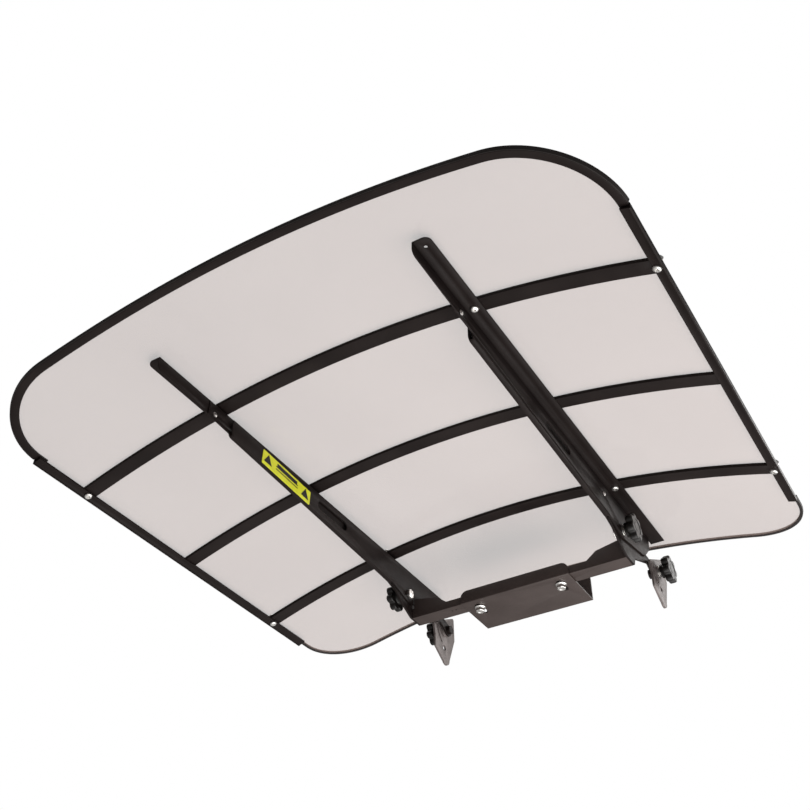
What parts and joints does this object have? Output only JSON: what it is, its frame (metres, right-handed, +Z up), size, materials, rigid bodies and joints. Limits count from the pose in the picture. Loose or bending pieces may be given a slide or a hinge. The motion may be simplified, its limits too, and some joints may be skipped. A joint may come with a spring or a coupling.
{
  "type": "windshield screen",
  "caption": "Arched tinted overhead screen with cross ribs and side rails on two folding slotted arms, a slotted bar bracket, pointed lugs and star clamp knobs.",
  "frame": {"origin": "middle of the centre bracket's seat, where the cross bar rests", "axes": "+X to the right, +Y to the rear, +Z up, square to the seat"},
  "size_m": [1.0198, 1.006, 0.1632],
  "materials": {
    "tinted_sheet": "clear tinted, glossy",
    "black_steel": "satin powder coat",
    "zinc_hardware": "bright zinc",
    "knob_plastic": "fine grain",
    "cast_lug": "satin cast",
    "trim_rubber": "satin",
    "label_yellow": "printed vinyl",
    "label_black": "printed vinyl"
  },
  "bodies": {
    "bracket": {"centre_bracket": "black_steel"},
    "hinge_frame": {"cross_member": "black_steel", "cheek_left": "black_steel", "cheek_right": "black_steel", "pivot_bolts": "zinc_hardware", "lug_bolts": "black_steel", "bracket_bolts": "zinc_hardware", "bracket_nuts": "zinc_hardware", "knob_washers": "zinc_hardware"},
    "canopy": {"screen_sheet": "tinted_sheet", "front_trim": "trim_rubber", "rear_trim": "trim_rubber", "front_bow": "black_steel", "side_rail_left": "black_steel", "side_rail_right": "black_steel", "rib_front": "black_steel", "rib_middle": "black_steel", "rib_rear": "black_steel", "arm_angle_left": "black_steel", "arm_angle_right": "black_steel", "arm_channel_left": "black_steel", "arm_channel_right": "black_steel", "arm_rivets": "zinc_hardware", "rib_bolts": "zinc_hardware", "rib_washers": "zinc_hardware", "rib_nuts": "zinc_hardware", "rail_bolts": "zinc_hardware", "rail_washers": "zinc_hardware", "rail_nuts": "zinc_hardware", "label_plate": "label_yellow", "label_marks": "label_black"},
    "lug_left": {"lug_left": "cast_lug"},
    "pivot_knob_left": {"pivot_knob_left": "knob_plastic", "pivot_insert_left": "zinc_hardware"},
    "lug_knob_left": {"lug_knob_left": "knob_plastic", "lug_insert_left": "zinc_hardware"},
    "lug_right": {"lug_right": "cast_lug"},
    "pivot_knob_right": {"pivot_knob_right": "knob_plastic", "pivot_insert_right": "zinc_hardware"},
    "lug_knob_right": {"lug_knob_right": "knob_plastic", "lug_insert_right": "zinc_hardware"}
  },
  "joints": [
    {"name": "bracket_slide", "type": "slide", "parent": "bracket", "child": "hinge_frame", "axis": [0, 1, 0], "range_m": [-0.0024, 0.019]},
    {"name": "canopy_fold", "type": "hinge", "parent": "hinge_frame", "child": "canopy", "pos_m": [0, -0.082, 0.0418], "axis": [1, 0, 0], "range_deg": [-6, 88]},
    {"name": "lug_swing_left", "type": "hinge", "parent": "hinge_frame", "child": "lug_left", "pos_m": [-0.2252, 0.075, 0.0387], "axis": [1, 0, 0], "range_deg": [-40, 15]},
    {"name": "pivot_knob_spin_left", "type": "hinge", "parent": "hinge_frame", "child": "pivot_knob_left", "pos_m": [-0.24, -0.082, 0.0418], "axis": [-1, 0, 0], "continuous": true},
    {"name": "lug_knob_spin_left", "type": "hinge", "parent": "hinge_frame", "child": "lug_knob_left", "pos_m": [-0.24, 0.075, 0.0387], "axis": [-1, 0, 0], "continuous": true},
    {"name": "lug_swing_right", "type": "hinge", "parent": "hinge_frame", "child": "lug_right", "pos_m": [0.2252, 0.075, 0.0387], "axis": [1, 0, 0], "range_deg": [-40, 15]},
    {"name": "pivot_knob_spin_right", "type": "hinge", "parent": "hinge_frame", "child": "pivot_knob_right", "pos_m": [0.24, -0.082, 0.0418], "axis": [1, 0, 0], "continuous": true},
    {"name": "lug_knob_spin_right", "type": "hinge", "parent": "hinge_frame", "child": "lug_knob_right", "pos_m": [0.24, 0.075, 0.0387], "axis": [1, 0, 0], "continuous": true}
  ]
}
